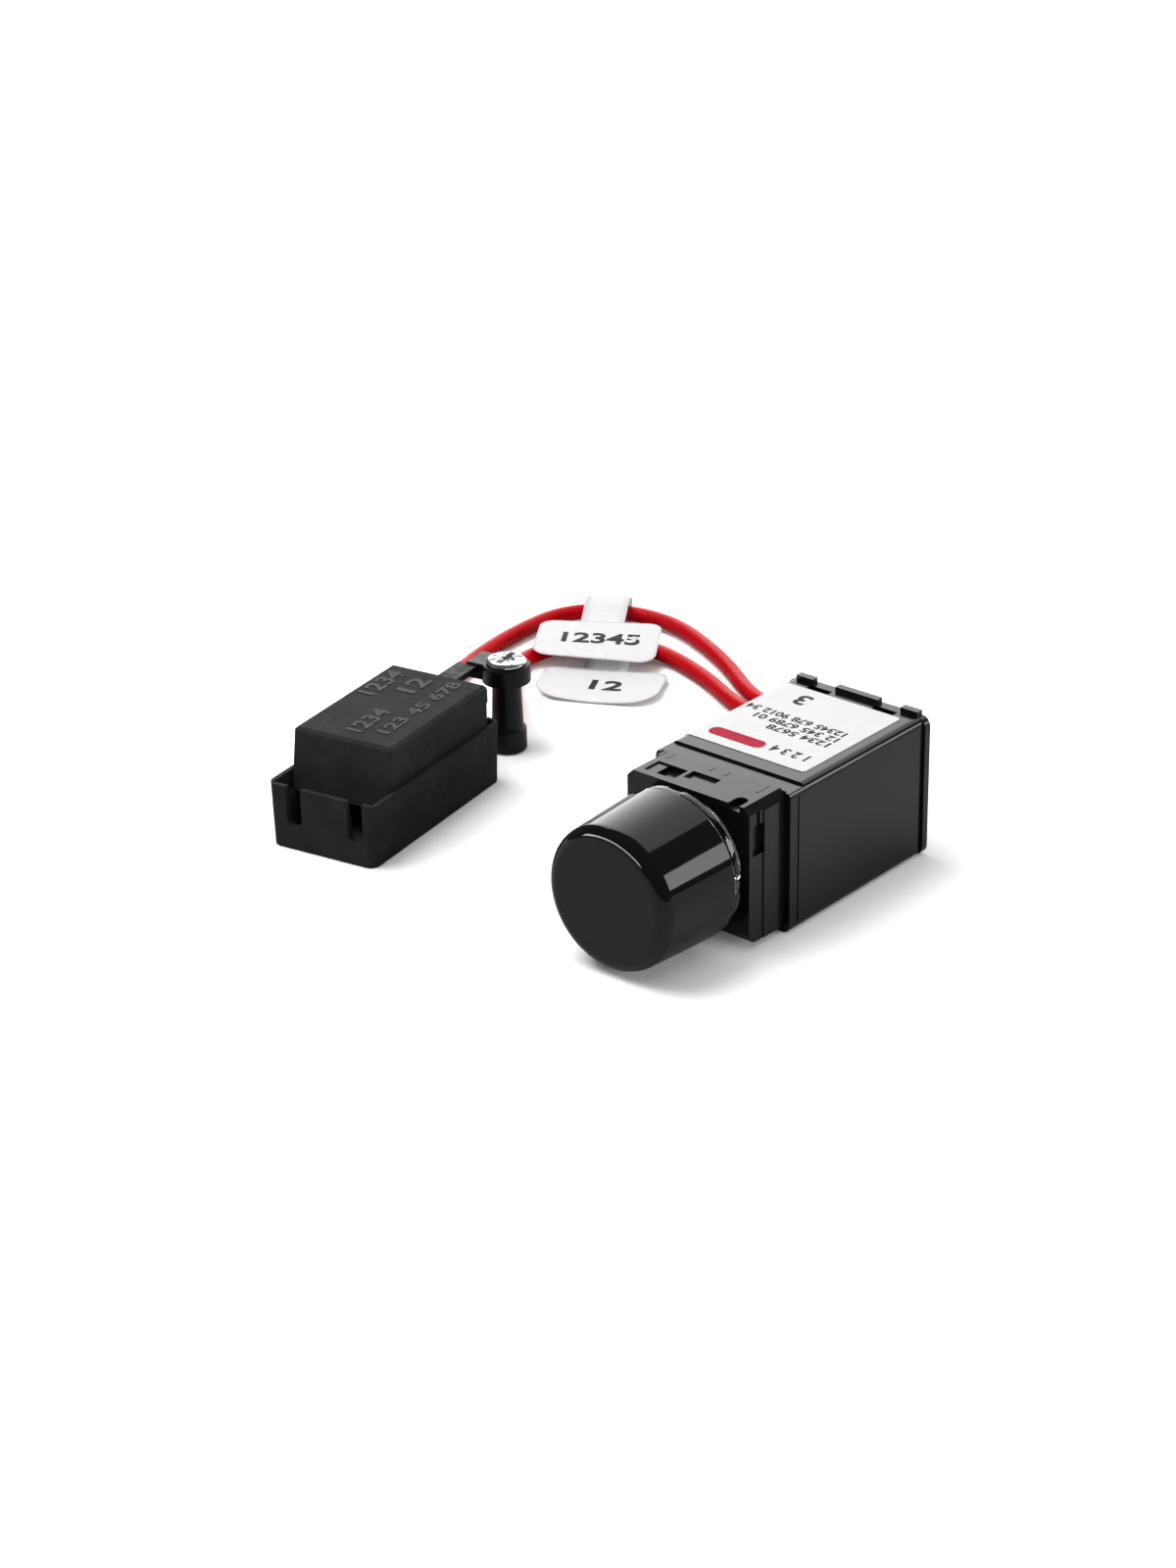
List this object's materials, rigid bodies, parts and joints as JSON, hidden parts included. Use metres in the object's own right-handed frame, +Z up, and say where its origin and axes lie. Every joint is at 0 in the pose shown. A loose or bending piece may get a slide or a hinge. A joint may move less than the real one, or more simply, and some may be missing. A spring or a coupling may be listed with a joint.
{
  "type": "rotary dimmer switch",
  "caption": "Rotary push-and-turn dimmer module with a black knob, a boxed body, red flying leads with white tags, and a loose terminal shroud with its pillar.",
  "frame": {"origin": "under the middle of the dimmer module, on the surface that it lies on", "axes": "+Y from the knob to the rear lid, where the leads leave; +X across the housing; +Z up"},
  "size_m": [0.1012, 0.1006, 0.0229],
  "materials": {
    "black_gloss": "glossy",
    "label_white": "satin paper",
    "black_satin": "satin",
    "clear_plastic": "clear",
    "knob_black": "polished",
    "spring_steel": "bright",
    "shaft_steel": "turned",
    "nickelled_brass": "nickel plated",
    "tinned_steel": "tinned",
    "laminate_brown": "laminate",
    "carbon_black": "printed",
    "white_plastic": "moulded",
    "tinned_brass": "tinned",
    "board_green": "solder mask",
    "black_matte": "moulded epoxy",
    "aluminium_plate": "milled",
    "ferrite_grey": "sintered",
    "copper_wire": "enamelled copper",
    "capacitor_red": "boxed film",
    "rubber_black": "matt",
    "lead_red": "extruded",
    "shroud_black": "spark-eroded texture",
    "terminal_brass": "turned",
    "screw_bright": "zinc plated",
    "pillar_black": "satin",
    "tag_white": "paper"
  },
  "bodies": {
    "root": {"housing_sleeve": "black_gloss", "rear_lid": "black_gloss", "rating_label": "label_white", "front_adapter": "black_satin", "bushing": "nickelled_brass", "bushing_nut": "nickelled_brass", "lock_washer": "spring_steel", "pot_can": "tinned_steel", "track_wafer": "laminate_brown", "carbon_track": "carbon_black", "pot_terminals": "tinned_brass", "switch_body": "white_plastic", "switch_spring": "spring_steel", "switch_pins": "tinned_brass", "circuit_board": "board_green", "power_transistors": "black_matte", "heat_spreader": "aluminium_plate", "choke_core": "ferrite_grey", "choke_winding": "copper_wire", "film_capacitor": "capacitor_red", "electrolytic_capacitor": "aluminium_plate", "fuse": "black_matte", "control_chip": "black_matte", "resistors": "black_matte", "lead_grommets": "rubber_black", "lead_tails": "lead_red", "shroud_tray": "shroud_black", "terminal_strip": "terminal_brass", "terminal_screws": "screw_bright", "pillar": "pillar_black", "pillar_sleeve": "terminal_brass", "conductor_ends": "copper_wire", "strap": "rubber_black", "lead_active": "lead_red", "lead_load": "lead_red", "tag_active": "tag_white", "tag_load": "tag_white"},
    "plunger": {"switch_plunger": "white_plastic"},
    "knob_group": {"knob": "knob_black", "knob_clip": "spring_steel", "shaft": "shaft_steel", "clear_ring": "clear_plastic"},
    "rotor": {"pot_rotor": "white_plastic", "wiper": "spring_steel"},
    "cover": {"shroud_cover": "shroud_black"},
    "pad": {"pressure_pad": "terminal_brass"},
    "screw": {"pillar_screw": "screw_bright"}
  },
  "joints": [
    {"name": "knob_push", "type": "slide", "parent": "root", "child": "plunger", "axis": [0, 1, 0], "range_m": [0, 0.0012], "stiffness_N_per_m": 2000, "deforming": ["switch_spring"]},
    {"name": "knob_turn", "type": "hinge", "parent": "plunger", "child": "knob_group", "pos_m": [0, -0.022, 0.0115], "axis": [0, 1, 0], "range_deg": [0, 270]},
    {"name": "rotor_turn", "type": "hinge", "parent": "root", "child": "rotor", "pos_m": [0, 0.0018, 0.0115], "axis": [0, 1, 0], "range_deg": [0, 270]},
    {"name": "cover_lift", "type": "slide", "parent": "root", "child": "cover", "axis": [0, 0, 1], "range_m": [0, 0.012]},
    {"name": "pad_lift", "type": "slide", "parent": "root", "child": "pad", "axis": [0, 0, 1], "range_m": [0, 0.0008]},
    {"name": "screw_turn", "type": "hinge", "parent": "pad", "child": "screw", "pos_m": [-0.06012, 0.01843, 0.0145], "axis": [0, 0, 1], "range_deg": [0, 720]}
  ],
  "couplings": [
    {"joint": "rotor_turn", "follows": "knob_turn", "ratio": 1},
    {"joint": "screw_turn", "follows": "pad_lift", "rad_per_m": 15708}
  ]
}
